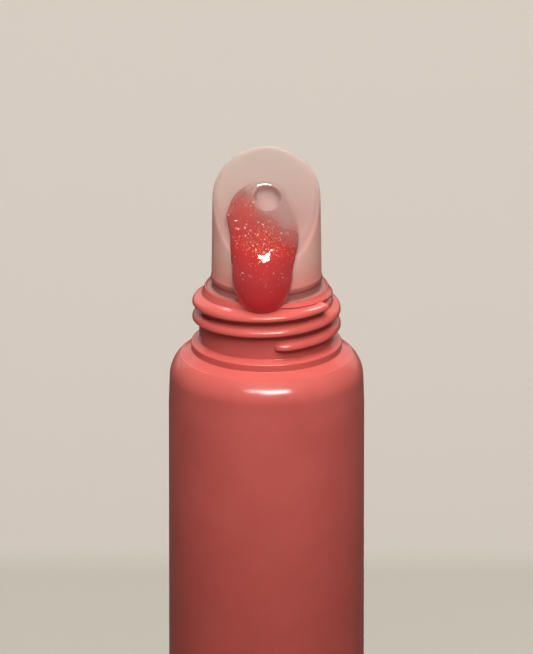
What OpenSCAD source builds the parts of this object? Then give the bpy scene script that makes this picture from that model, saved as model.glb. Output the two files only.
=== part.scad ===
// Squeezable lip gloss tube with a threaded neck and a slanted soft tip.
// Millimetres, +Z up along the tube, origin at the centre of the base.
// The slanted face of the tip, its hole and the bead of gloss face -Y.

/* [Tube] */
// Outer diameter of the tube
tube_d = 19; // [18.6:0.2:22]
// Height of the seam between sleeve and shoulder above the base
seam_h = 70; // [50:1:90]
// Wall thickness of the sleeve
sleeve_t = 0.5; // [0.4:0.05:0.6]
// Radius of the rolled shoulder corner
corner_r = 3.2; // [3:0.1:3.3]

/* [Neck] */
// Outer diameter of the neck below the thread
neck_d = 13.1; // [13:0.05:13.3]
// Height of the neck rim above the seam
neck_h = 7; // [6.9:0.1:8]
// Outer diameter of the step ring under the thread
ring_d = 14.64; // [14.5:0.02:14.8]
// Inner diameter of the bore that holds the tip
bore_d = 9.5; // [9.2:0.1:9.8]

/* [Thread] */
// Diameter over the thread
thread_d = 14.42; // [14:0.02:14.46]
// Rise of the thread in one turn
pitch = 1.55; // [1.4:0.01:1.6]
// Number of turns
turns = 2.14; // [1:0.01:2.3]

/* [Tip] */
// Diameter of the round end of the tip
dome_d = 10.48; // [10:0.02:10.8]
// Height of the centre of the round end above the neck rim
dome_h = 8.8; // [8:0.1:10]
// Angle of the slanted face from the horizontal
slant = 52; // [45:1:56]
// Diameter of the hole in the slanted face
hole_d = 2.44; // [1.6:0.02:2.6]

/* [Gloss] */
// Radius of the upper part of the bead of gloss
bead_r = 3.9; // [3.4:0.1:4]
// Number of glitter flakes in the bead
flakes = 40; // [10:1:60]

/* [Hidden] */
$fn = 96;
eps = 0.01;
fit = 0.02;
coral = [0.87, 0.42, 0.39];
gloss_red = [0.80, 0.20, 0.20];

// Sleeve: rolled corner from its steep seam edge down to a slight draft, then straight
tube_r = tube_d / 2;
corner_top = 48;
corner_low = 2;
draft_h = 2.65;
seam_r = tube_r - draft_h * tan(corner_low) - corner_r * (cos(corner_low) - cos(corner_top));
corner_x = seam_r - corner_r * cos(corner_top);
corner_z = seam_h - corner_r * sin(corner_top);
full_z = corner_z + corner_r * sin(corner_low) - draft_h;

// Head: neck, step ring, shoulder disc, and a skirt welded inside the sleeve's corner
rim_z = seam_h + neck_h;
neck_r = neck_d / 2;
rim_r = neck_r - 0.55;
rim_round = 0.12;
lead_r = neck_r - 0.1;
lead_h = 1.2;
seat_r = 5.82;
seat_depth = 1.2;
ring_r = ring_d / 2;
ring_join = rim_z - 5.5;
ring_top = rim_z - 5.72;
ring_low = rim_z - 6.5;
ring_round = 0.18;
bore_r = bore_d / 2;
weld_a = corner_top + 0.4;
weld_r = corner_r - sleeve_t - fit;
skirt_t = 0.8;
skirt_low = 10;
skirt_top = 60;
head_low = rim_z - 8;

// Snap ring between the head and the carrier of the tip
snap_z = rim_z - 5.2;
snap_h = 0.8;
snap_step = 0.18;

// Thread
thread_r = thread_d / 2;
thread_top = rim_z - 0.95;
thread_start = 57;
foot_low = 0.26;
foot_high = 0.75;
crest_half = 0.22;
crest_soft = 0.06;
thread_sunk = 0.15;
runout = 14;
thread_step = 7;

// Base plug
plug_t = 1.2;
plug_edge = 0.4;
plug_r = tube_r - sleeve_t - fit;
plug_skirt_h = 5;
plug_skirt_t = 0.9;
recess_r = 6.5;
recess_h = 0.4;

// Soft tip
dome_r = dome_d / 2;
dome_z = rim_z + dome_h;
tip_base_r = dome_r + 0.1;
lip_r = 5.44;
lip_top = rim_z + 0.95;
lip_low = rim_z + 0.62;
lip_round = 0.1;
groove_r = 5.3;
flange_r = seat_r - fit;
flange_top = rim_z - 0.04;
flange_low = rim_z - 0.7;
face_gap = 1.01;
hole_r = hole_d / 2;
hole_drop = 0.43;
hole_deep = 3;
channel_r = 1.5;
channel_top = dome_z - 1.6;
spigot_r = 2.6;
spigot_low = rim_z - 5.4;
barb_r = 3.05;
barb_h = 0.8;

// Carrier
carrier_top = flange_low - fit;
carrier_flange_r = seat_r - 0.08;
carrier_web_t = 0.8;
carrier_low = rim_z - 6.2;
skirt_r = bore_r - fit;
carrier_skirt_t = 0.7;
hub_r = 3.6;
hub_bore_r = spigot_r + fit;
hub_low = rim_z - 4.2;

// Gloss
fill_gap = 0.05;
fill_r = tube_r - sleeve_t - fill_gap;
fill_top = corner_z - 0.4;
fill_cone_r = corner_x + (weld_r - skirt_t) * cos(skirt_low) - fill_gap;
bead_off = -0.38;
bead_rest = rim_z - 0.45;
// Each entry: distance out of the axis, height, radius
bead_path = [[0.51, rim_z + 6.58, 1.015 * bead_r], [1.95, rim_z + 5.06, 0.962 * bead_r],
             [3.34, rim_z + 3.45, 0.89 * bead_r], [4.24, rim_z + 2.13, 0.764 * bead_r],
             [5.17, rim_z + 0.98, 0.579 * bead_r]];
bead_facets = 32;
flake_r = 0.13;
flake_t = 0.04;
flake_deep = 0.3;
flake_fan = 60;
golden = 0.618034;

// Points of an arc about [x, z] from angle a0 to angle a1
function arc(x, z, r, a0, a1, n = 16) =
    [for (i = [0:n]) let (a = a0 + (a1 - a0) * i / n) [x + r * cos(a), z + r * sin(a)]];

// Places things on the slanted face: across the tube, up the face from its middle, and out of it
module on_face(across, up, out) {
    translate([0, 0, dome_z])
        rotate([slant, 0, 0])
            translate([across, up, face_gap + out])
                children();
}

// Soft sleeve, open at the foot, its top edge rolled in over the shoulder
module tube_sleeve() {
    color(coral)
        rotate_extrude()
            polygon(concat(
                [[tube_r, plug_t + fit], [tube_r, full_z]],
                arc(corner_x, corner_z, corner_r, corner_low, corner_top),
                arc(corner_x, corner_z, corner_r - sleeve_t, corner_top, corner_low),
                [[tube_r - sleeve_t, full_z], [tube_r - sleeve_t, plug_t + fit]]));
}

// Outline of the moulded head, from the rim down the outside and up the bore
function head_outline() = concat(
    [[seat_r, rim_z]],
    arc(rim_r - rim_round, rim_z - rim_round, rim_round, 90, 15, 4),
    [[lead_r, rim_z - lead_h], [neck_r, ring_join]],
    arc(ring_r - ring_round, ring_top - ring_round, ring_round, 90, 0, 6),
    [[ring_r, ring_low]],
    [[corner_x + corner_r * cos(weld_a), corner_z + corner_r * sin(weld_a)]],
    arc(corner_x, corner_z, weld_r, weld_a, skirt_low, 10),
    arc(corner_x, corner_z, weld_r - skirt_t, skirt_low, skirt_top, 10),
    [[bore_r, head_low],
     [bore_r, snap_z - snap_h], [bore_r + snap_step, snap_z - snap_h / 2],
     [bore_r + snap_step, snap_z + snap_h / 2], [bore_r, snap_z + snap_h],
     [bore_r, rim_z - seat_depth], [seat_r, rim_z - seat_depth]]);

// Radius of the neck's outer wall at depth d below the rim
function wall_r(d) = lookup(d, [[0, rim_r], [lead_h, lead_r], [rim_z - ring_join, neck_r]]);

// Section of the thread at angle a down from its start: a steep underside, a narrow crest and a
// sloping upper flank, drawn out to nothing at its lower end
function thread_section(a) =
    let (full = min(1, (360 * turns - a) / runout),
         depth = rim_z - thread_top + pitch * a / 360,
         low = wall_r(depth + foot_low) - thread_sunk,
         high = wall_r(depth - foot_high) - thread_sunk,
         crest = neck_r + (thread_r - neck_r) * (0.15 + 0.85 * full))
    [[low, -foot_low], [crest - crest_soft, -crest_half], [crest, crest_soft - crest_half],
     [crest, crest_half / 2], [crest - crest_soft, crest_half - crest_soft / 2], [high, foot_high]];

// Right-handed single-start thread ridge, swept down from its blunt upper end
module thread() {
    steps = ceil(360 * turns / thread_step);
    sections = [for (i = [0:steps]) thread_section(360 * turns * i / steps)];
    n = len(sections[0]);
    points = [for (i = [0:steps], p = sections[i])
        let (a = 360 * turns * i / steps, at = thread_start - 90 - a)
        [p[0] * cos(at), p[0] * sin(at), thread_top - pitch * a / 360 + p[1]]];
    sides = [for (i = [0:steps - 1], j = [0:n - 1])
        let (k = (j + 1) % n)
        each [[i * n + j, (i + 1) * n + j, (i + 1) * n + k], [i * n + j, (i + 1) * n + k, i * n + k]]];
    first = [for (j = [0:n - 1]) j];
    last = [for (j = [0:n - 1]) steps * n + n - 1 - j];
    polyhedron(points, concat([first, last], sides), convexity = 6);
}

// Moulded head with the threaded neck
module tube_head() {
    color(coral)
        union() {
            rotate_extrude() polygon(head_outline());
            thread();
        }
}

// Plug that closes the foot of the sleeve; the tube stands on its outer ring
module base_plug() {
    color(coral)
        rotate_extrude()
            polygon(concat(
                [[0, recess_h], [recess_r - recess_h, recess_h], [recess_r, 0]],
                arc(tube_r - plug_edge, plug_edge, plug_edge, -90, 0),
                [[tube_r, plug_t], [plug_r, plug_t], [plug_r, plug_t + plug_skirt_h],
                 [plug_r - plug_skirt_t, plug_t + plug_skirt_h], [plug_r - plug_skirt_t, plug_t],
                 [0, plug_t]]));
}

// Hard ring snapped into the neck; the soft tip is pulled through its hub
module tip_carrier() {
    color("gainsboro")
        rotate_extrude()
            polygon([
                [hub_bore_r, carrier_top], [carrier_flange_r, carrier_top],
                [carrier_flange_r, rim_z - seat_depth + fit], [skirt_r, rim_z - seat_depth + fit],
                [skirt_r, snap_z + snap_h / 2], [skirt_r + snap_step, snap_z + snap_h / 4],
                [skirt_r + snap_step, snap_z - snap_h / 4], [skirt_r, snap_z - snap_h / 2],
                [skirt_r, carrier_low], [skirt_r - carrier_skirt_t, carrier_low],
                [skirt_r - carrier_skirt_t, carrier_top - carrier_web_t],
                [hub_r, carrier_top - carrier_web_t], [hub_r, hub_low], [hub_bore_r, hub_low]]);
}

// Outline of the soft tip before its face and channel are cut: barbed spigot, flange sunk in the
// seat of the neck, groove, lip and dome
function tip_outline(grow) = concat(
    [[0, spigot_low], [spigot_r, spigot_low], [barb_r, hub_low - fit - barb_h / 2],
     [barb_r, hub_low - fit], [spigot_r, hub_low - fit], [spigot_r, flange_low],
     [flange_r + grow, flange_low], [flange_r + grow, flange_top + grow],
     [groove_r + grow, flange_top + grow], [groove_r + grow, lip_low - grow]],
    arc(lip_r + grow - lip_round, lip_low - grow + lip_round, lip_round, -90, 0, 4),
    [[tip_base_r + grow, lip_top]],
    arc(0, dome_z, dome_r + grow, 0, 90, 32));

// Round end with the slanted face
module tip_solid(grow = 0) {
    difference() {
        rotate_extrude() polygon(tip_outline(grow));
        on_face(-dome_d, -dome_d, grow) cube(2 * dome_d);
    }
}

// Path of the gloss: up the channel on the axis, then out square through the face
module gloss_path(inset, start, end) {
    translate([0, 0, start]) cylinder(r = channel_r - inset, h = channel_top - inset - start);
    on_face(0, -hole_drop, inset - hole_deep) cylinder(r = hole_r - inset, h = hole_deep - inset + end);
}

// Frosted soft tip
module applicator_tip() {
    color([0.93, 0.82, 0.78, 0.7])
        difference() {
            tip_solid();
            gloss_path(0, spigot_low - eps, eps);
        }
}

// Gloss in the tube, in the neck and up the channel
module gloss_fill() {
    color(gloss_red)
        union() {
            rotate_extrude()
                polygon([
                    [0, plug_t + fill_gap], [plug_r - plug_skirt_t - fill_gap, plug_t + fill_gap],
                    [plug_r - plug_skirt_t - fill_gap, plug_t + plug_skirt_h + fill_gap],
                    [fill_r, plug_t + plug_skirt_h + fill_gap], [fill_r, full_z - fill_gap],
                    [fill_cone_r, fill_top], [bore_r - fill_gap, head_low],
                    [bore_r - fill_gap, carrier_low - fill_gap], [0, carrier_low - fill_gap]]);
            gloss_path(fit, carrier_low - 2 * fill_gap, 0);
        }
}

// Outer form of the bead, from over the hole down to the rim of the neck
module bead_form() {
    hull()
        for (s = bead_path)
            translate([bead_off, -s[0], s[1]]) sphere(s[2], $fn = bead_facets);
}

// Bead of gloss pressed out of the hole
module gloss_bead() {
    color(gloss_red)
        difference() {
            bead_form();
            tip_solid(fit);
            cylinder(r = neck_r + fit, h = rim_z + fit);
            cylinder(r = thread_r + fit, h = bead_rest);
        }
}

// Six-sided glitter flakes just under the front of the bead, spread evenly along and across it
module glitter() {
    color("gold")
        for (i = [0:flakes - 1]) {
            place = (len(bead_path) - 1) * (i + 0.5) / flakes;
            above = bead_path[floor(place)];
            below = bead_path[floor(place) + 1];
            at = above + (place - floor(place)) * (below - above);
            tilt = atan2(above[1] - below[1], below[0] - above[0]);
            aside = flake_fan * (i * golden - floor(i * golden) - 0.5);
            translate([bead_off, -at[0], at[1]])
                rotate([tilt, 0, 0])
                    rotate([0, aside, 0])
                        translate([0, 0, at[2] - flake_deep])
                            cylinder(r = flake_r, h = flake_t, $fn = 6);
        }
}

tube_sleeve();
tube_head();
base_plug();
tip_carrier();
applicator_tip();
gloss_fill();
gloss_bead();
glitter();
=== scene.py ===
import math

import bmesh
import bpy
import numpy as np
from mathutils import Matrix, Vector


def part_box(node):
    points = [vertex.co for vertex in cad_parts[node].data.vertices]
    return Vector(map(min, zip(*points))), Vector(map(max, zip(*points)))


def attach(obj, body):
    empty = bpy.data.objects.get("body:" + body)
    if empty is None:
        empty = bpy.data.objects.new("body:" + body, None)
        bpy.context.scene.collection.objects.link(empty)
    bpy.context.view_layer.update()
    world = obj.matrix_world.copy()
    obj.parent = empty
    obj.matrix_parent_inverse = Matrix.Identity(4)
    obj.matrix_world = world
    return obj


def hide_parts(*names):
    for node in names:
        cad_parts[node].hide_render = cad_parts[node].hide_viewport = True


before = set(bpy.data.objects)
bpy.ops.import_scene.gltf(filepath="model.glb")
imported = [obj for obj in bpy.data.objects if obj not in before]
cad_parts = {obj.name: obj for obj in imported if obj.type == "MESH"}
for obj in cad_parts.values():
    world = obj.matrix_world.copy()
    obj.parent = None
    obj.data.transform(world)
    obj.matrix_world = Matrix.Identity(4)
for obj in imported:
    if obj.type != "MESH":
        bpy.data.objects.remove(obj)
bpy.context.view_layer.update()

MM = 0.001
SEED = 7

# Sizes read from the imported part
sleeve_lo, sleeve_hi = (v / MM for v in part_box("tube_sleeve"))
head_lo, head_hi = (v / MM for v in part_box("tube_head"))
tip_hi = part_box("applicator_tip")[1] / MM
tube_r = sleeve_hi.x
seam_z = sleeve_hi.z
rim_z = head_hi.z

# Sleeve and its rolled corner, which ends in a small lip at the seam
sleeve_low = sleeve_lo.z
sleeve_t = 0.5
sleeve_foot = 0.1
corner_r = 3.2
corner_x = 6.21
corner_z = seam_z - 2.38
corner_end = 47
corner_lip = 0.12
full_z = corner_z - 2.54

# Neck, step ring and thread. The thread starts thread_start degrees to the right of the front and
# fades over its last thread_runout degrees. Its crest lies between thread_face's two heights from the
# helix, then curves over with the radius thread_curve and falls to the wall at thread_flank degrees.
neck_r = 6.55
rim_r = 6.0
rim_drop = 1.2
drop_r = 6.45
seat_r = 5.82
ring_r = 7.32
ring_join = rim_z - 5.5
ring_top = rim_z - 5.72
ring_low = rim_z - 6.5
disc_r = 8.31
bore_r = 4.75
bore_top = rim_z - 1.2
thread_r = 7.21
thread_top = rim_z - 0.95
thread_pitch = 1.55
thread_turns = 2.14
thread_start = 57
thread_runout = 14
thread_face = (-0.22, -0.1)
thread_curve = 0.65
thread_rise = 0.76
thread_flank = 59

# Base plug inside the sleeve's lower end
plug_t = sleeve_low - 0.02
plug_r = tube_r - sleeve_t - 0.02
plug_up = 5
plug_wall = 0.9
foot_r = 0.4
recess_r = 6.5
recess_h = 0.4

# Soft tip. The dome's centre lies on the axis, and the slanted face is face_gap from it. Below the
# dome are a lip just above the rim, a groove round the stem, and a flange sunk in the neck's seat.
dome_r = 5.24
dome_z = rim_z + 8.8
tip_base_r = dome_r + 0.1
lip_r = 5.44
lip_top = rim_z + 0.95
lip_low = rim_z + 0.62
lip_round = 0.12
stem_top = lip_low + 1.0
groove_r = 5.3
flange_r = 5.8
flange_top = rim_z - 0.04
flange_low = rim_z - 0.7
slant = math.radians(52)
face_out = (0, -math.sin(slant), math.cos(slant))
face_up = (0, math.cos(slant), math.sin(slant))
face_gap = 1.01
face_round = 0.7
hole_r = 1.2
hole_down = 0.43
hole_deep = 1.6
hole_round = 0.22
hole_foot = 0.5


# ---------------------------------------------------------------- camera

scene = bpy.context.scene
scene.view_settings.view_transform = "Standard"


def place(obj, azimuth, elevation, distance, target):
    """Puts obj round the target and aims it there: azimuth 0 is the front, 90 is the right."""
    a, e = math.radians(azimuth), math.radians(elevation)
    away = Vector((math.sin(a) * math.cos(e), -math.cos(a) * math.cos(e), math.sin(e)))
    obj.location = Vector(target) + away * distance
    obj.rotation_mode = "QUATERNION"
    obj.rotation_quaternion = (Vector(target) - obj.location).to_track_quat("-Z", "Y")


# The camera is far away, with a long lens; FIELD is the height that it sees, in metres
CAMERA_TARGET = (0, 0, 0.0726)
CAMERA_DISTANCE = 2.0
CAMERA_ELEVATION = 19.5
FIELD = 0.0635
SENSOR = 36
camera = bpy.data.objects.new("camera", bpy.data.cameras.new("camera"))
scene.collection.objects.link(camera)
camera.data.sensor_width = SENSOR
camera.data.lens = SENSOR * CAMERA_DISTANCE / FIELD
camera.data.clip_start = 0.1
camera.data.clip_end = 20
place(camera, 0, CAMERA_ELEVATION, CAMERA_DISTANCE, CAMERA_TARGET)
scene.camera = camera


# ---------------------------------------------------------------- materials

# Sockets of a colour Mix node: its two colours and its result
MIX_A = 6
MIX_B = 7
MIX_OUT = 2


def material(name):
    """A node material with its Principled shader."""
    mat = bpy.data.materials.new(name)
    mat.use_nodes = True
    return mat, mat.node_tree, mat.node_tree.nodes["Principled BSDF"]


def add(tree, kind, inputs=None, **settings):
    """A new shader node with its inputs and settings."""
    node = tree.nodes.new("ShaderNode" + kind)
    for key, value in settings.items():
        setattr(node, key, value)
    for key, value in (inputs or {}).items():
        node.inputs[key].default_value = value
    return node


def ramp(tree, factor, *stops):
    """A colour ramp on a factor; each stop is (position, colour)."""
    node = add(tree, "ValToRGB")
    band = node.color_ramp
    while len(band.elements) < len(stops):
        band.elements.new(0.5)
    for element, (at, colour) in zip(band.elements, stops):
        element.position = at
        element.color = (*colour, 1)
    tree.links.new(factor, node.inputs["Fac"])
    return node.outputs["Color"]


def here(tree):
    """The shaded point in the object's own coordinates, in metres."""
    return add(tree, "TexCoord").outputs["Object"]


def along_axis(tree, axis):
    """The shaded point's place along X, Y or Z."""
    split = add(tree, "SeparateXYZ")
    tree.links.new(here(tree), split.inputs["Vector"])
    return split.outputs[axis]


def noise(tree, scale, detail=3.0):
    """Noise over the object's own coordinates; scale is in cells per metre."""
    node = add(tree, "TexNoise", {"Scale": scale, "Detail": detail})
    tree.links.new(here(tree), node.inputs["Vector"])
    return node.outputs["Fac"]


def spread(tree, value, low, high, to_low, to_high, eased=False):
    """Maps a value from one range to another and stops at its ends."""
    node = add(tree, "MapRange", {"From Min": low, "From Max": high, "To Min": to_low, "To Max": to_high})
    if eased:
        node.interpolation_type = "SMOOTHSTEP"
    tree.links.new(value, node.inputs["Value"])
    return node.outputs["Result"]


def blend(tree, factor, first, second):
    """Goes over from the first colour to the second as the factor rises to 1."""
    node = add(tree, "Mix", data_type="RGBA")
    tree.links.new(factor, node.inputs["Factor"])
    tree.links.new(first, node.inputs[MIX_A])
    tree.links.new(second, node.inputs[MIX_B])
    return node.outputs[MIX_OUT]


def bump(tree, shader, value, distance, strength):
    """Roughens a shader's surface by a value; distance is in metres."""
    node = add(tree, "Bump", {"Strength": strength, "Distance": distance})
    tree.links.new(value, node.inputs["Height"])
    tree.links.new(node.outputs["Normal"], shader.inputs["Normal"])


def coral_plastic(name, light, dark, gloss):
    """Satin coral polyethylene: cloudy, unevenly glossy, fine-grained, with painted shade that deepens its
    tone towards the base.
    """
    mat, tree, shader = material(name)
    cloud = noise(tree, 240, detail=4)
    tone = add(tree, "Mix", data_type="RGBA", blend_type="MULTIPLY")
    tone.inputs["Factor"].default_value = 1.0
    tree.links.new(ramp(tree, cloud, (0.3, dark), (0.7, light)), tone.inputs[MIX_A])
    # Painted shade: the tone is multiplied down to 0.8 towards the base, standing in for light falling off
    # down the tube
    low, high = (seam_z - 26) * MM, (seam_z - 8) * MM
    up = spread(tree, along_axis(tree, "Z"), low, high, 0, 1, eased=True)
    tree.links.new(ramp(tree, up, (0, (0.80, 0.76, 0.74)), (1, (1, 1, 1))), tone.inputs[MIX_B])
    tree.links.new(tone.outputs[MIX_OUT], shader.inputs["Base Color"])
    tree.links.new(spread(tree, noise(tree, 900), 0.3, 0.7, gloss - 0.03, gloss + 0.03),
                   shader.inputs["Roughness"])
    shader.inputs["IOR"].default_value = 1.5
    shader.inputs["Subsurface Weight"].default_value = 0.25
    shader.inputs["Subsurface Radius"].default_value = (1.0, 0.25, 0.2)
    shader.inputs["Subsurface Scale"].default_value = 0.0006
    bump(tree, shader, noise(tree, 1400, detail=2), 0.000004, 0.2)
    return mat


sleeve_coral = coral_plastic("sleeve_coral", (0.62, 0.135, 0.120), (0.58, 0.119, 0.105), 0.20)
head_coral = coral_plastic("head_coral", (0.67, 0.135, 0.121), (0.63, 0.120, 0.107), 0.18)


def frosted_silicone():
    """Milky silicone with painted light and shade in its colour: a wall pale at the round end and pinker
    towards the neck, a face and a hole.
    """
    mat, tree, shader = material("tip_frosted")
    up = spread(tree, along_axis(tree, "Z"), lip_low * MM, tip_hi.z * MM, 0, 1)
    # Painted shade: dark on the lip and on the stem and flange in the groove under it. Painted light: bright
    # pink low
    # on the wall for the coral light it picks up and the key light it lacks, paler and darker at the round
    # end
    wall = ramp(tree, up, (0.0, (0.46, 0.19, 0.17)), (0.03, (0.40, 0.12, 0.10)), (0.05, (0.98, 0.38, 0.33)),
                (0.26, (1.00, 0.60, 0.53)), (0.45, (1.00, 0.58, 0.52)), (0.6, (0.86, 0.62, 0.58)),
                (1.0, (0.52, 0.46, 0.42)))
    # Painted shade: the face is darker, to cancel the extra light that it catches from above
    face = ramp(tree, up, (0.3, (0.55, 0.31, 0.28)), (0.57, (0.46, 0.29, 0.265)),
                (0.8, (0.475, 0.365, 0.33)), (1.0, (0.46, 0.395, 0.36)))
    # Painted light: the hole is lighter towards its top, to lift the shade that falls there
    bore = ramp(tree, up, (0.64, (0.68, 0.52, 0.49)), (0.74, (0.84, 0.66, 0.61)))
    # The face's tone starts half a millimetre below the face
    outward = add(tree, "VectorMath", operation="DOT_PRODUCT")
    tree.links.new(here(tree), outward.inputs[0])
    outward.inputs[1].default_value = face_out
    face_at = dome_z * math.cos(slant) + face_gap
    on_face = spread(tree, outward.outputs["Value"], (face_at - 0.5) * MM, (face_at - 0.05) * MM, 0, 1,
                     eased=True)
    # The hole's tone fills a ball about a point in the hole, a little below the face
    ball_deep, ball_low, ball_high = 0.9, 1.45, 1.65
    hole_at = (Vector((0, 0, dome_z)) + Vector(face_out) * (face_gap - ball_deep)
               - Vector(face_up) * hole_down)
    away = add(tree, "VectorMath", operation="DISTANCE")
    tree.links.new(here(tree), away.inputs[0])
    away.inputs[1].default_value = hole_at * MM
    in_hole = spread(tree, away.outputs["Value"], ball_low * MM, ball_high * MM, 1, 0, eased=True)
    tone = blend(tree, in_hole, blend(tree, on_face, wall, face), bore)
    tree.links.new(tone, shader.inputs["Base Color"])
    tree.links.new(spread(tree, noise(tree, 700), 0.3, 0.7, 0.50, 0.60), shader.inputs["Roughness"])
    shader.inputs["IOR"].default_value = 1.35
    shader.inputs["Transmission Weight"].default_value = 0.1
    shader.inputs["Subsurface Weight"].default_value = 0.8
    shader.inputs["Subsurface Radius"].default_value = (1.0, 0.8, 0.75)
    shader.inputs["Subsurface Scale"].default_value = 0.002
    bump(tree, shader, noise(tree, 2600, detail=3), 0.00001, 0.4)
    return mat


tip_frosted = frosted_silicone()


def through_for_shadows(tree, shader, tint):
    """Lets the lamps shine through a clear shader, tinted."""
    path = add(tree, "LightPath")
    through = add(tree, "BsdfTransparent", {"Color": (*tint, 1)})
    mix = add(tree, "MixShader")
    tree.links.new(path.outputs["Is Shadow Ray"], mix.inputs["Fac"])
    tree.links.new(shader.outputs["BSDF"], mix.inputs[1])
    tree.links.new(through.outputs["BSDF"], mix.inputs[2])
    tree.links.new(mix.outputs["Shader"], tree.nodes["Material Output"].inputs["Surface"])


def clear_gel():
    """Wet clear gel, slightly rosy; a low index under a coat keeps it from magnifying the red in it."""
    mat, tree, shader = material("gel_clear")
    tree.links.new(ramp(tree, noise(tree, 500), (0.3, (0.87, 0.84, 0.83)), (0.7, (0.93, 0.91, 0.90))),
                   shader.inputs["Base Color"])
    shader.inputs["Roughness"].default_value = 0.0
    shader.inputs["IOR"].default_value = 1.2
    shader.inputs["Transmission Weight"].default_value = 1.0
    shader.inputs["Coat Weight"].default_value = 1.0
    shader.inputs["Coat IOR"].default_value = 1.45
    shader.inputs["Coat Roughness"].default_value = 0.0
    through_for_shadows(tree, shader, (0.93, 0.87, 0.86))
    return mat


gel_clear = clear_gel()


def red_gel():
    """Milky red gel inside the clear layer; it fades out softly towards the hole."""
    mat, tree, shader = material("gel_red")
    up = spread(tree, along_axis(tree, "Z"), (rim_z - 0.5) * MM, (dome_z + 0.5) * MM, 0, 1)
    tone = ramp(tree, up, (0.0, (0.49, 0.015, 0.023)), (0.35, (0.50, 0.056, 0.065)),
                (0.6, (0.60, 0.056, 0.058)), (0.75, (0.54, 0.078, 0.078)), (1.0, (0.54, 0.135, 0.125)))
    tree.links.new(tone, shader.inputs["Base Color"])
    shader.inputs["Roughness"].default_value = 0.6
    shader.inputs["Specular IOR Level"].default_value = 0.0
    shader.inputs["Subsurface Weight"].default_value = 0.9
    shader.inputs["Subsurface Radius"].default_value = (1.0, 0.25, 0.2)
    shader.inputs["Subsurface Scale"].default_value = 0.0012
    bump(tree, shader, noise(tree, 900), 0.00003, 0.3)
    # The upper edge of the red runs down to the right, with a soft, wavy border
    left, right = -2.6 * MM, 4.0 * MM
    left_z, right_z = (dome_z + 1.9) * MM, (dome_z - 3.2) * MM
    wave_high = 0.7 * MM
    fade_above, fade_below = -1.1 * MM, 2.3 * MM
    border = spread(tree, along_axis(tree, "X"), left, right, left_z, right_z)
    wave = add(tree, "Math", operation="MULTIPLY_ADD")
    wave.inputs[1].default_value = wave_high
    tree.links.new(spread(tree, noise(tree, 450, detail=2), 0.3, 0.7, -0.5, 0.5), wave.inputs[0])
    tree.links.new(border, wave.inputs[2])
    under = add(tree, "Math", operation="SUBTRACT")
    tree.links.new(wave.outputs["Value"], under.inputs[0])
    tree.links.new(along_axis(tree, "Z"), under.inputs[1])
    fade = spread(tree, under.outputs["Value"], fade_above, fade_below, 0, 1, eased=True)
    through = add(tree, "BsdfTransparent")
    mix = add(tree, "MixShader")
    tree.links.new(fade, mix.inputs["Fac"])
    tree.links.new(through.outputs["BSDF"], mix.inputs[1])
    tree.links.new(shader.outputs["BSDF"], mix.inputs[2])
    tree.links.new(mix.outputs["Shader"], tree.nodes["Material Output"].inputs["Surface"])
    return mat


gel_red = red_gel()


def flake_film(name, light, dark):
    """Coated film of the glitter, its tone changing from flake to flake."""
    mat, tree, shader = material(name)
    tree.links.new(ramp(tree, noise(tree, 2500), (0.35, dark), (0.65, light)), shader.inputs["Base Color"])
    shader.inputs["Metallic"].default_value = 0.3
    shader.inputs["Roughness"].default_value = 0.3
    return mat


flake_gold = flake_film("flake_gold", (1.0, 0.76, 0.44), (1.0, 0.54, 0.28))
flake_rose = flake_film("flake_rose", (1.0, 0.90, 0.84), (1.0, 0.70, 0.62))


def natural_plastic():
    """Natural polypropylene of the carrier."""
    mat, tree, shader = material("carrier_natural")
    tree.links.new(ramp(tree, noise(tree, 600), (0.3, (0.72, 0.66, 0.60)), (0.7, (0.80, 0.75, 0.70))),
                   shader.inputs["Base Color"])
    shader.inputs["Roughness"].default_value = 0.3
    return mat


# ---------------------------------------------------------------- mesh helpers

SHARP = math.radians(50)


def turn_outward(work, crumb):
    """Turns every closed island of a mesh outwards and drops islands of fewer faces than crumb."""
    bmesh.ops.recalc_face_normals(work, faces=work.faces)
    left = set(work.faces)
    dropped = []
    while left:
        front = [left.pop()]
        island = []
        while front:
            face = front.pop()
            island.append(face)
            for edge in face.edges:
                if len(edge.link_faces) != 2:
                    continue
                for other in edge.link_faces:
                    if other in left:
                        left.remove(other)
                        front.append(other)
        if len(island) < crumb:
            dropped += island
            continue
        volume = 0
        for face in island:
            corners = [v.co for v in face.verts]
            volume += sum(corners[0].dot(a.cross(b)) for a, b in zip(corners[1:], corners[2:]))
        if volume < 0:
            bmesh.ops.reverse_faces(work, faces=island)
    bmesh.ops.delete(work, geom=dropped, context="FACES")


def build(name, points, faces, mat, slot, replaced=(), crumb=0):
    """A smooth-shaded piece on the tube's only body, from points in millimetres."""
    mesh = bpy.data.meshes.new(name)
    mesh.from_pydata((np.asarray(points) * MM).tolist(), [], faces)
    work = bmesh.new()
    work.from_mesh(mesh)
    turn_outward(work, crumb)
    work.to_mesh(mesh)
    work.free()
    mesh.shade_smooth()
    mesh.set_sharp_from_angle(angle=SHARP)
    mesh.materials.append(mat)
    obj = bpy.data.objects.new(name, mesh)
    scene.collection.objects.link(obj)
    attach(obj, "root")
    if replaced:
        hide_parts(*replaced)
    return obj


def arc(x, z, r, start, end, steps):
    """Points of an arc about (x, z) between two angles in degrees."""
    angles = np.radians(np.linspace(start, end, steps + 1))
    return [(x + r * math.cos(a), z + r * math.sin(a)) for a in angles]


def held(outline, near=0.05, shortest=0.4):
    """Adds a point close to both ends of each long stretch, so that smooth shading keeps it straight."""
    points = []
    for (r0, z0), (r1, z1) in zip(outline, outline[1:] + outline[:1]):
        points.append((r0, z0))
        length = math.hypot(r1 - r0, z1 - z0)
        if length > shortest:
            for t in (near / length, 1 - near / length):
                points.append((r0 + (r1 - r0) * t, z0 + (z1 - z0) * t))
    return points


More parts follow.
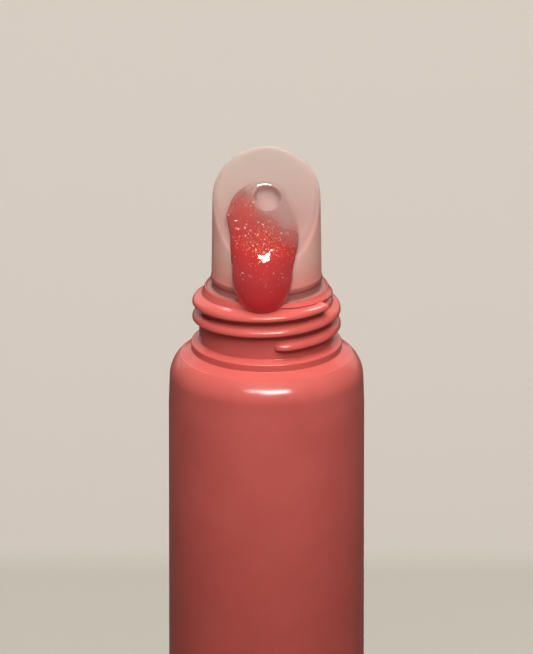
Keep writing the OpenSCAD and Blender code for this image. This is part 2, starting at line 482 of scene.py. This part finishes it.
def revolve(outline, columns):
    """Points and faces of a closed outline of (r, z) turned round the axis."""
    rings, points = [], []
    for r, z in outline:
        if r == 0:
            rings.append([len(points)] * columns)
            points.append((0, 0, z))
            continue
        rings.append([len(points) + i for i in range(columns)])
        for i in range(columns):
            a = 2 * math.pi * i / columns
            points.append((r * math.cos(a), r * math.sin(a), z))
    faces = []
    for low, high in zip(rings, rings[1:] + rings[:1]):
        if low[0] == low[1] and high[0] == high[1]:
            continue
        for i in range(columns):
            j = (i + 1) % columns
            corners = [low[i], low[j], high[j], high[i]]
            faces.append(tuple(dict.fromkeys(corners)))
    return points, faces


def settle(points, field, cell, rounds=3):
    """Moves points along the field's slope on to the surface where it is zero."""
    h = 0.2 * cell
    least_slope = 0.05
    damping = 0.8
    for _ in range(rounds):
        x, y, z = points.T
        off = field(x, y, z)
        slope = np.stack([field(x + h, y, z) - field(x - h, y, z), field(x, y + h, z) - field(x, y - h, z),
                          field(x, y, z + h) - field(x, y, z - h)], 1) / (2 * h)
        push = off / np.maximum((slope ** 2).sum(1), least_slope)
        points = points - slope * np.clip(push, -cell, cell)[:, None] * damping
    return points


def surface_net(field, low, high, cell):
    """Points and faces of the surface where field(x, y, z) is zero; field is negative inside.

    Each cell that the surface crosses gets one point, the mean of the crossings on its edges, and
    each crossed edge gets a face between the four cells round it.
    """
    axes = [np.arange(a, b + cell, cell, dtype=np.float32) for a, b in zip(low, high)]
    value = field(*np.meshgrid(*axes, indexing="ij", sparse=True)).astype(np.float32)
    inside = value < 0
    shape = tuple(n - 1 for n in value.shape)
    total = np.zeros((*shape, 3), np.float32)
    hits = np.zeros(shape, np.int8)
    for axis in range(3):
        u, v = (axis + 1) % 3, (axis + 2) % 3
        lower, upper = [slice(None)] * 3, [slice(None)] * 3
        lower[axis], upper[axis] = slice(None, -1), slice(1, None)
        f0, f1 = value[tuple(lower)], value[tuple(upper)]
        crossing = (f0 < 0) != (f1 < 0)
        part = np.where(crossing, f0 / np.where(crossing, f0 - f1, 1), 0)
        for du in (0, 1):
            for dv in (0, 1):
                pick = [slice(None)] * 3
                pick[u] = slice(du, du + shape[u])
                pick[v] = slice(dv, dv + shape[v])
                hit = crossing[tuple(pick)]
                hits += hit
                total[..., axis] += np.where(hit, part[tuple(pick)], 0)
                total[..., u] += hit * du
                total[..., v] += hit * dv
    used = hits > 0
    index = np.full(shape, -1, np.int64)
    index[used] = np.arange(used.sum())
    where = np.argwhere(used)
    points = (where + total[used] / hits[used][:, None]) * cell + np.array([a[0] for a in axes])
    quads = []
    for axis in range(3):
        u, v = (axis + 1) % 3, (axis + 2) % 3
        lower, upper = [slice(1, -1)] * 3, [slice(1, -1)] * 3
        lower[axis], upper[axis] = slice(None, -1), slice(1, None)
        first, second = inside[tuple(lower)], inside[tuple(upper)]
        at = np.argwhere(first != second)
        step = np.ones(3, int)
        step[axis] = 0
        at = at + step
        corner = []
        for du, dv in ((1, 1), (0, 1), (0, 0), (1, 0)):
            back = at.copy()
            back[:, u] -= du
            back[:, v] -= dv
            corner.append(index[tuple(back.T)])
        quads.append(np.stack(corner, 1))
    return settle(points, field, cell), np.concatenate(quads).tolist()


def smooth(t):
    """Rises gently from 0 to 1 as t does."""
    t = np.clip(t, 0, 1)
    return t * t * (3 - 2 * t)


def soft_max(a, b, k):
    """The larger of two fields, rounded over where they differ by less than k."""
    h = np.maximum(k - np.abs(a - b), 0) / k
    return np.maximum(a, b) + h * h * k / 4


def soft_min(a, b, k):
    """The smaller of two fields, rounded over where they differ by less than k."""
    return -soft_max(-a, -b, k)


# ---------------------------------------------------------------- sleeve, head and base

def sleeve():
    """Round wall, open at the foot, rolled in at the top to the small lip at the seam."""
    inner_r = tube_r - sleeve_t
    lip_at = math.radians(corner_end)
    lip_x = corner_x + (corner_r - corner_lip) * math.cos(lip_at)
    lip_z = corner_z + (corner_r - corner_lip) * math.sin(lip_at)
    outline = held(
        arc(tube_r - sleeve_foot, sleeve_low + sleeve_foot, sleeve_foot, -90, 0, 4)
        + [(tube_r, z) for z in np.linspace(sleeve_low + 3, full_z - 2, 8)]
        + [(tube_r, full_z)]
        + arc(corner_x, corner_z, corner_r, 2, corner_end - 0.5, 36)
        + arc(lip_x, lip_z, corner_lip, corner_end + 3, 135, 6)
        + arc(corner_x, corner_z, corner_r - sleeve_t, corner_end + 1, 2, 12)
        + [(inner_r, full_z), (inner_r, sleeve_low)])
    build("sleeve", *revolve(outline, 288), sleeve_coral, "sleeve", ["tube_sleeve"])


sleeve()


def wall_r(z):
    """Radius of the neck's wall: drawn in over its topmost part, so that a cap finds its start."""
    return float(np.interp(rim_z - z, [0, 0.3, rim_drop, 5], [rim_r - 0.02, rim_r + 0.08, drop_r, neck_r]))


def head_outline():
    """Rim, neck, step ring and shoulder disc outside, then the bore and the tip's seat inside."""
    rim_round, neck_foot, ring_round, ring_foot, disc_round = 0.12, 0.1, 0.18, 0.06, 0.1
    drops = [*np.arange(0.15, 1.4, 0.05), 1.6, 3.0, 5.0]
    return held(
        arc(seat_r + rim_round, rim_z - rim_round, rim_round, 180, 90, 5)
        + arc(rim_r - rim_round, rim_z - rim_round, rim_round, 90, 14, 6)
        + [(wall_r(rim_z - d), rim_z - d) for d in drops]
        + arc(neck_r + neck_foot, ring_join + 0.08, neck_foot, 180, 248, 5)
        + arc(ring_r - ring_round, ring_top - 0.16, ring_round, 68, 0, 7)
        + arc(ring_r + ring_foot, ring_low + 0.07, ring_foot, 180, 240, 4)
        + arc(disc_r - disc_round, seam_z - disc_round, disc_round, 65, 0, 5)
        + [(disc_r, seam_z - 0.4), (corner_x + 1.8, corner_z - 0.5), (bore_r + 0.8, corner_z + 0.8),
           (bore_r, head_lo.z + 1), (bore_r, bore_top), (seat_r, bore_top)])


def collar(point):
    """Draws the wall out to a thin edge under the right half of the rim, with a slot below it.

    Turn is in degrees from the front, to the right. The edge lies lower towards the right.
    """
    top, bottom, edge_out, slot_in = 0.1, 1.5, 0.17, 0.14
    x, y, z = point
    r = math.hypot(x, y)
    deep = rim_z - z
    turn = math.degrees(math.atan2(x, -y))
    if not seat_r + 0.13 <= r <= neck_r or not top < deep < bottom:
        return point
    share = smooth((turn - 5) / 15) * (1 - smooth((turn - 85) / 40))
    edge_at = 0.36 + 0.0052 * (turn - 10)
    if deep < edge_at:
        grow = edge_out * smooth((deep - top) / (edge_at - top))
    else:
        grow = -slot_in * (1 - smooth((deep - edge_at - 0.2) / 0.5))
    scale = 1 + share * grow / r
    return x * scale, y * scale, z


def ridge_section():
    """Across the ridge, upward: height from the helix, share of its rise out of the wall."""
    low, high = thread_face
    points = [(low - 0.05, -0.3), (low - 0.04, 0), (low - 0.03, 0.4), (low - 0.02, 0.8), (low, 0.95),
              (low + 0.03, 0.99), (low + 0.07, 1)]
    for tilt in np.radians(np.linspace(0, thread_flank, 9)):
        points.append((high + thread_curve * math.sin(tilt),
                       1 - thread_curve * (1 - math.cos(tilt)) / thread_rise))
    s, share = points[-1]
    run = share * thread_rise / math.tan(math.radians(thread_flank))
    points += [(s + run * t, share * (1 - t)) for t in (0.25, 0.5, 0.75, 0.93)]
    return points + [(s + run + 0.02, 0), (s + run + 0.06, -0.3)]


def thread():
    """The helical ridge: cut square at its upper end, rounded away at its lower end.

    Its upper flank is flatter over the first sixth of a turn.
    """
    flank_from, flank_low = 0.19, 0.4
    start_share, end_width, sink = 0.94, 0.55, 0.01
    section = ridge_section()
    last = 360 * thread_turns
    step = 1.5
    ends = np.array([1, 0.85, 0.7, 0.55, 0.4, 0.28, 0.18, 0.1, 0.04, 0])
    turns = np.concatenate([[-0.3, 0], np.arange(step, last - thread_runout, step),
                            last - thread_runout * ends])
    points = []
    for i, a in enumerate(turns):
        end = np.clip((last - a) / thread_runout, 0, 1)
        full = start_share if i == 0 else math.sqrt(1 - (1 - end) ** 2)
        at = math.radians(thread_start - 90 - a)
        mid = thread_top - thread_pitch * a / 360
        lift = flank_low + (1 - flank_low) * smooth(a / 60)
        for s, share in section:
            if s > flank_from:
                s = flank_from + (s - flank_from) * lift
            z = mid + s * (end_width + (1 - end_width) * full)
            wall = wall_r(z) - sink
            r = wall + (thread_r - wall) * share * (full if share > 0 else 1)
            points.append((r * math.cos(at), r * math.sin(at), z))
    n, m = len(section), len(turns)
    faces = [(i * n + j, (i + 1) * n + j, (i + 1) * n + (j + 1) % n, i * n + (j + 1) % n)
             for i in range(m - 1) for j in range(n)]
    faces.append(tuple(range(n)))
    faces.append(tuple((m - 1) * n + j for j in reversed(range(n))))
    return points, faces


def head():
    """The wall with its collar, and the thread on it."""
    points, faces = revolve(head_outline(), 288)
    points = [collar(p) for p in points]
    ridge_points, ridge_faces = thread()
    ridge_faces = [tuple(v + len(points) for v in face) for face in ridge_faces]
    build("head", points + ridge_points, faces + ridge_faces, head_coral, "head", ["tube_head"])


def base():
    """Closed base: a standing ring round a shallow recess, and a collar up inside the sleeve."""
    edge_round = 0.06
    inner_r = plug_r - plug_wall
    outline = held(
        [(0, recess_h)]
        + arc(recess_r - 0.5, recess_h - 0.15, 0.15, 90, 45, 3)
        + arc(recess_r + 0.25, 0.2, 0.2, 210, 270, 5)
        + arc(tube_r - foot_r, foot_r, foot_r, -90, 0, 8)
        + arc(tube_r - edge_round, plug_t - edge_round, edge_round, 0, 90, 3)
        + [(plug_r, plug_t), (plug_r, plug_t + plug_up), (inner_r, plug_t + plug_up), (inner_r, plug_t),
           (0, plug_t)])
    build("base", *revolve(outline, 240), sleeve_coral, "base", ["base_plug"])


head()
base()


# ---------------------------------------------------------------- soft tip

def tip_field(x, y, z):
    """Distance-like field of the soft tip, negative inside."""
    r = np.sqrt(x * x + y * y)
    down = dome_z - z
    outer = np.interp(z, [lip_low, lip_low + 0.15, lip_top - 0.05, lip_top + 0.3, dome_z],
                      [lip_r - 0.03, lip_r, lip_r - 0.01, tip_base_r, dome_r])
    body = np.where(z > dome_z, np.sqrt(r * r + down * down) - dome_r, r - outer)
    tilt = -y * math.sin(slant) + (z - dome_z) * math.cos(slant) - face_gap
    body = soft_max(body, tilt, face_round)
    body = soft_max(body, lip_low - z, lip_round)
    stem = np.maximum(np.maximum(r - groove_r, z - stem_top), flange_low - z)
    flange = soft_max(np.maximum(r - flange_r, flange_low - z), z - flange_top, 0.1)
    body = soft_min(body, soft_min(stem, flange, 0.08), 0.06)
    up = y * math.cos(slant) + (z - dome_z) * math.sin(slant) + hole_down
    bore = soft_max(np.sqrt(x * x + up * up) - hole_r, -tilt - hole_deep, hole_foot)
    return soft_max(body, -bore, hole_round)


tip_net = surface_net(tip_field, (-flange_r, -flange_r, flange_low - 0.2),
                      (flange_r, flange_r, tip_hi.z + 0.3), 0.09)
build("tip", *tip_net, tip_frosted, "tip", ["applicator_tip"])


# ---------------------------------------------------------------- gloss

def gloss_column():
    """The gloss that fills the tube, and its thin column up the tip's channel."""
    gap = 0.05
    wall_gap = 0.06
    inner_r = plug_r - plug_wall - gap
    column_r = tube_r - sleeve_t - wall_gap
    head_r = bore_r - gap
    channel_r = 1.48
    carrier_low = rim_z - 6.25
    top = dome_z - 3.6
    outline = held(
        [(0, plug_t + gap), (inner_r, plug_t + gap), (inner_r, plug_t + plug_up + gap),
         (column_r, plug_t + plug_up + gap), (column_r, full_z - gap)]
        + arc(corner_x - 0.3, corner_z - 0.3, 2.1, 10, 60, 8)
        + [(head_r, head_lo.z + 0.9), (head_r, carrier_low), (channel_r, carrier_low), (channel_r, top),
           (0, top)])
    build("gloss_column", *revolve(outline, 160), gel_red, "gloss", ["gloss_fill"])


gloss_column()

# The bead's path down the front. Each row is a ball: how far out of the axis, its height, its radius,
# its width as a share of its radius, and its shift to the side.
BEAD = np.array([
    [0.51, dome_z - 2.22, 3.96, 0.97, -0.55],
    [1.95, dome_z - 3.74, 3.75, 1.04, -0.12],
    [3.42, dome_z - 5.35, 3.47, 0.90, -0.32],
    [4.38, dome_z - 6.67, 2.98, 0.98, -0.40],
    [5.17, dome_z - 7.82, 2.24, 1.06, -0.40],
])
# A lump on the bead's left edge and a crown on its top: x, y, height, radius, rounding of the joint
BULGE = (-3.30, -2.89, dome_z - 1.36, 0.76, 1.0)
CROWN = (-0.15, -0.68, dome_z - 0.20, 2.18, 0.3)
# How deep the two gels sink into the tip and the neck, and the fewest faces of an island worth keeping
SINK_CLEAR = 0.12
SINK_RED = 0.02
CRUMB = 100


def along(path, steps):
    """Smooth curve through the rows of a path, by Catmull-Rom."""
    ext = np.vstack([2 * path[0] - path[1], path, 2 * path[-1] - path[-2]])
    out = []
    for t in np.linspace(0, len(path) - 1, steps):
        i = min(int(t), len(path) - 2)
        s = t - i
        p0, p1, p2, p3 = ext[i:i + 4]
        out.append(0.5 * (2 * p1 + (p2 - p0) * s + (2 * p0 - 5 * p1 + 4 * p2 - p3) * s ** 2
                          + (3 * p1 - p0 - 3 * p2 + p3) * s ** 3))
    return np.array(out)


def join_ball(value, x, y, z, ball):
    """Joins a ball to a form, with a rounded joint."""
    cx, cy, cz, r, joint = ball
    return soft_min(value, np.sqrt((x - cx) ** 2 + (y - cy) ** 2 + (z - cz) ** 2) - r, joint)


def bead_form(x, y, z, bulge_too=True):
    """Distance-like field of the whole bead before the tip and neck are cut out of it."""
    melt = 0.02
    total = -np.inf
    for out, up, r, wide, aside in along(BEAD, 50):
        d = np.sqrt(((x - aside) / wide) ** 2 + (y + out) ** 2 + (z - up) ** 2) - r
        total = np.logaddexp(total, -d / melt)
    value = join_ball(-total * melt, x, y, z, CROWN)
    return join_ball(value, x, y, z, BULGE) if bulge_too else value


def rest_on(value, x, y, z, sink):
    """Cuts a form where it lies on the tip and on the rim of the neck; sink is how far it goes in."""
    r = np.sqrt(x * x + y * y)
    neck = np.maximum(r - np.interp(rim_z - z, [0, rim_drop, 5], [rim_r, drop_r, neck_r]), z - rim_z)
    value = soft_max(value, -(tip_field(x, y, z) + sink), 0.05)
    return soft_max(value, -(neck + sink), 0.05)


def shell_field(x, y, z):
    """The clear gel, which is the bead's skin."""
    return rest_on(bead_form(x, y, z), x, y, z, SINK_CLEAR)


def core_field(x, y, z):
    """The red gel: 0.05 under the skin, 0.1 deeper high up and 0.12 deeper at its right."""
    high_up = smooth((z - dome_z + 3.9) / 1.6)
    right = smooth((x - 1.6) / 1.2) * smooth((z - dome_z + 6.5) / 2.0)
    deep = 0.05 + 0.1 * high_up + 0.12 * right
    return rest_on(bead_form(x, y, z, bulge_too=False) + deep, x, y, z, SINK_RED)


bead_low = (-4.8, -7.8, rim_z - 1.3)
bead_high = (4.2, 1.2, dome_z + 2.6)
shell_points, shell_faces = surface_net(shell_field, bead_low, bead_high, 0.09)
build("bead_clear", shell_points, shell_faces, gel_clear, "gloss", ["gloss_bead"], CRUMB)
build("bead_red", *surface_net(core_field, bead_low, bead_high, 0.1), gel_red, "gloss", crumb=CRUMB)


# ---------------------------------------------------------------- glitter

# Half a flake's thickness, and how much its tilt and its place vary
FLAKE_HALF = 0.006
FLAKE_TILT = 0.55
FLAKE_SHIFT = 0.12


def skin_normals():
    """Outward normals of the bead's form at the points of its skin."""
    slope = np.stack([bead_form(*(shell_points + step).T) - bead_form(*(shell_points - step).T)
                      for step in np.eye(3) * 0.05], 1)
    return slope / np.linalg.norm(slope, axis=1)[:, None]


def flake_share(cluster):
    """How likely a flake is at each point of the skin.

    The flakes gather round a middle 2.9 mm below the dome's centre, the more the larger cluster is.
    Few lie in the bead's lowest part and in the clear gel above the red.
    """
    x, y, z = shell_points.T
    open_skin = (np.abs(bead_form(x, y, z)) < 0.03) & (tip_field(x, y, z) > 0.35)
    middle = np.exp(-((x + 0.2) ** 2 + (z - (dome_z - 2.9)) ** 2) / 2.2)
    red = z < np.interp(x, [-1.2, 2.8], [dome_z + 0.8, dome_z - 2.4])
    share = cluster * middle + np.where(z < rim_z + 2, 0.06, 0.35)
    share = share * open_skin * np.where(red, 1, 0.04)
    return share / share.sum()


def flake(centre, n, size):
    """Points and faces of a six-sided plate across the unit normal n."""
    side = np.cross(n, [0.3, 0.2, 0.9])
    side /= np.linalg.norm(side)
    other = np.cross(n, side)
    points = [centre + size * (side * math.cos(a) + other * math.sin(a)) + n * half
              for half in (-FLAKE_HALF, FLAKE_HALF) for a in (math.pi * k / 3 for k in range(6))]
    faces = [tuple(reversed(range(6))), tuple(range(6, 12))]
    for k in range(6):
        j = (k + 1) % 6
        faces.append((k, j, 6 + j, 6 + k))
    return points, faces


def flakes(name, count, sizes, depths, cluster, mat, seed):
    """A cloud of flakes just under the bead's open skin; sizes and depths are ranges."""
    rng = np.random.default_rng(seed)
    small, large = sizes
    points, faces = [], []
    for c in rng.choice(len(shell_points), count, p=flake_share(cluster)):
        shift = np.cross(normals[c], rng.normal(0, FLAKE_SHIFT, 3))
        n = normals[c] + rng.normal(0, FLAKE_TILT, 3)
        n /= np.linalg.norm(n)
        size = small + (large - small) * rng.random() ** 2
        centre = shell_points[c] + shift - normals[c] * rng.uniform(*depths)
        flake_points, flake_faces = flake(centre, n, size)
        faces += [tuple(v + len(points) for v in face) for face in flake_faces]
        points += flake_points
    obj = build(name, points, faces, mat, "glitter", ["glitter"])
    obj.data.shade_flat()


normals = skin_normals()
flakes("glitter_gold", 560, (0.022, 0.048), (0.04, 0.1), 4.0, flake_gold, SEED)
flakes("glitter_rose", 70, (0.06, 0.11), (0.05, 0.1), 0.6, flake_rose, SEED + 1)

# The carrier is hidden inside and keeps its mesh
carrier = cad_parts["tip_carrier"].data
carrier.materials.clear()
carrier.materials.append(natural_plastic())


# ---------------------------------------------------------------- floor and light

def floor_paper():
    """Pale matt paper with painted light: past the tube it goes over into a lighter tone for a lit backdrop,
    and it grows lighter further back against the key's falloff. Lengths are in metres.
    """
    painted_wall_from, painted_wall_to = 0.1275, 0.1370
    rise_from, rise_to, rise = 0.14, 0.36, 1.46
    mat, tree, shader = material("floor_paper")
    # Painted light: a lighter tone past the tube for a backdrop that catches more light, lighter still
    # further back
    past = spread(tree, along_axis(tree, "Y"), painted_wall_from, painted_wall_to, 0, 1, eased=True)
    colour = ramp(tree, past, (0, (0.50, 0.495, 0.45)), (1, (0.575, 0.565, 0.527)))
    lighter = add(tree, "VectorMath", operation="SCALE")
    tree.links.new(colour, lighter.inputs[0])
    tree.links.new(spread(tree, along_axis(tree, "Y"), rise_from, rise_to, 1, rise), lighter.inputs["Scale"])
    tree.links.new(lighter.outputs["Vector"], shader.inputs["Base Color"])
    shader.inputs["Roughness"].default_value = 0.9
    shader.inputs["Specular IOR Level"].default_value = 0.1
    bump(tree, shader, noise(tree, 900), 0.00002, 0.2)
    return mat


def floor(half=4.0):
    """The table that the tube stands on; it neither lights the tube nor shows in it."""
    mesh = bpy.data.meshes.new("floor")
    mesh.from_pydata([(-half, -half, 0), (half, -half, 0), (half, half, 0), (-half, half, 0)], [],
                     [(0, 1, 2, 3)])
    mesh.materials.append(floor_paper())
    obj = bpy.data.objects.new("floor", mesh)
    scene.collection.objects.link(obj)
    obj.visible_diffuse = False
    obj.visible_glossy = False


floor()

world = bpy.data.worlds.new("studio")
world.use_nodes = True
background = world.node_tree.nodes["Background"]
background.inputs["Color"].default_value = (1.0, 0.62, 0.56, 1)
background.inputs["Strength"].default_value = 0.15
scene.world = world

LIGHT_TARGET = (0, 0, 0.078)
LIGHT_COLOUR = (1.0, 0.96, 0.91)
PANE_RADIANCE = 28


def panel(name, azimuth, elevation, distance, wide, tall, radiance, diffuse=True, glossy=True):
    """A rectangular soft light aimed at the tip's foot; lengths are in metres.

    Without diffuse it only shows in reflections; without glossy it shows in none. The gel lets the
    lamps through its shadow already, so none is seen by refraction, where it would count twice.
    """
    lamp = bpy.data.lights.new(name, "AREA")
    lamp.shape = "RECTANGLE"
    lamp.size, lamp.size_y = wide, tall
    lamp.energy = radiance * math.pi * wide * tall
    lamp.color = LIGHT_COLOUR
    obj = bpy.data.objects.new(name, lamp)
    scene.collection.objects.link(obj)
    place(obj, azimuth, elevation, distance, LIGHT_TARGET)
    obj.visible_diffuse = diffuse
    obj.visible_glossy = glossy
    obj.visible_transmission = False


# Matt light: from above, softly from behind, and on the front
panel("key", 4, 66, 0.6, 0.47, 0.53, 6.8, glossy=False)
panel("back_fill", 180, 40, 0.9, 0.8, 0.5, 1.2, glossy=False)
panel("front", 6, 38, 0.4, 0.2, 0.064, 10, glossy=False)
# Reflections: a pale sweep behind the tube, a window of five panes from the middle to the right, one
# wide, low pane to the left, and a bright strip behind
panel("sweep", 180, 20, 1.2, 2.4, 0.9, 0.55, diffuse=False)
for i in range(5):
    panel(f"window_right_{i}", -1.5 + 6.8 * i, 34, 1.0, 0.105, 0.19, PANE_RADIANCE, diffuse=False)
panel("window_left", -15, 36.5, 1.0, 0.30, 0.09, PANE_RADIANCE, diffuse=False)
panel("top_back", 180, 48, 0.8, 0.5, 0.15, 14, diffuse=False)
